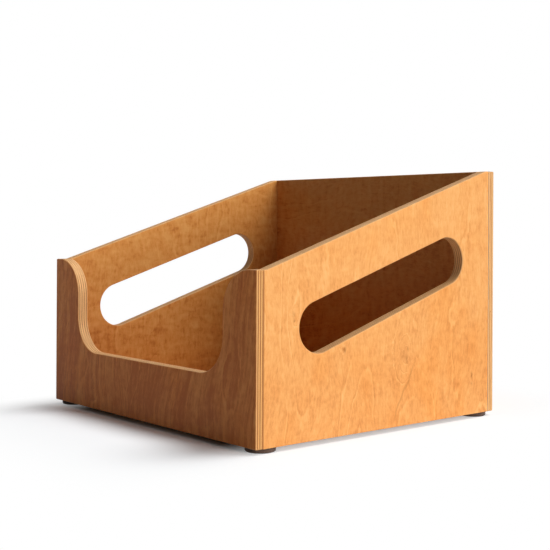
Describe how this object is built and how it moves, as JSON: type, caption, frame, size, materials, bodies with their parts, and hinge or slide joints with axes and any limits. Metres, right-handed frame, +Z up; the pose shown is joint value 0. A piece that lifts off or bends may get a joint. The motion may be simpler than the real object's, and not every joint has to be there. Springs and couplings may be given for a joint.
{
  "type": "record storage crate",
  "caption": "Open plywood crate for records on edge: sloping sides with slanted hand slots, scooped front, closed back, rebated corners and round felt feet.",
  "frame": {"origin": "on the ground, under the middle of the crate's footprint", "axes": "+X to the right seen from the front, +Y from the scooped front to the back, +Z up"},
  "size_m": [0.36, 0.33, 0.2625],
  "materials": {
    "stained_plywood": "honey-stained birch plywood under satin lacquer, its plies bare at the cut edges",
    "beech": "raw fluted dowel",
    "felt": "dense pressed felt"
  },
  "bodies": {
    "root": {"front_panel": "stained_plywood", "back_panel": "stained_plywood", "left_side_panel": "stained_plywood", "right_side_panel": "stained_plywood", "floor_panel": "stained_plywood", "left_front_dowel_1": "beech", "left_front_dowel_2": "beech", "left_back_dowel_1": "beech", "left_back_dowel_2": "beech", "left_back_dowel_3": "beech", "left_floor_dowel_1": "beech", "left_floor_dowel_2": "beech", "left_floor_dowel_3": "beech", "right_front_dowel_1": "beech", "right_front_dowel_2": "beech", "right_back_dowel_1": "beech", "right_back_dowel_2": "beech", "right_back_dowel_3": "beech", "right_floor_dowel_1": "beech", "right_floor_dowel_2": "beech", "right_floor_dowel_3": "beech", "front_left_foot": "felt", "front_right_foot": "felt", "back_left_foot": "felt", "back_right_foot": "felt"}
  },
  "joints": []
}
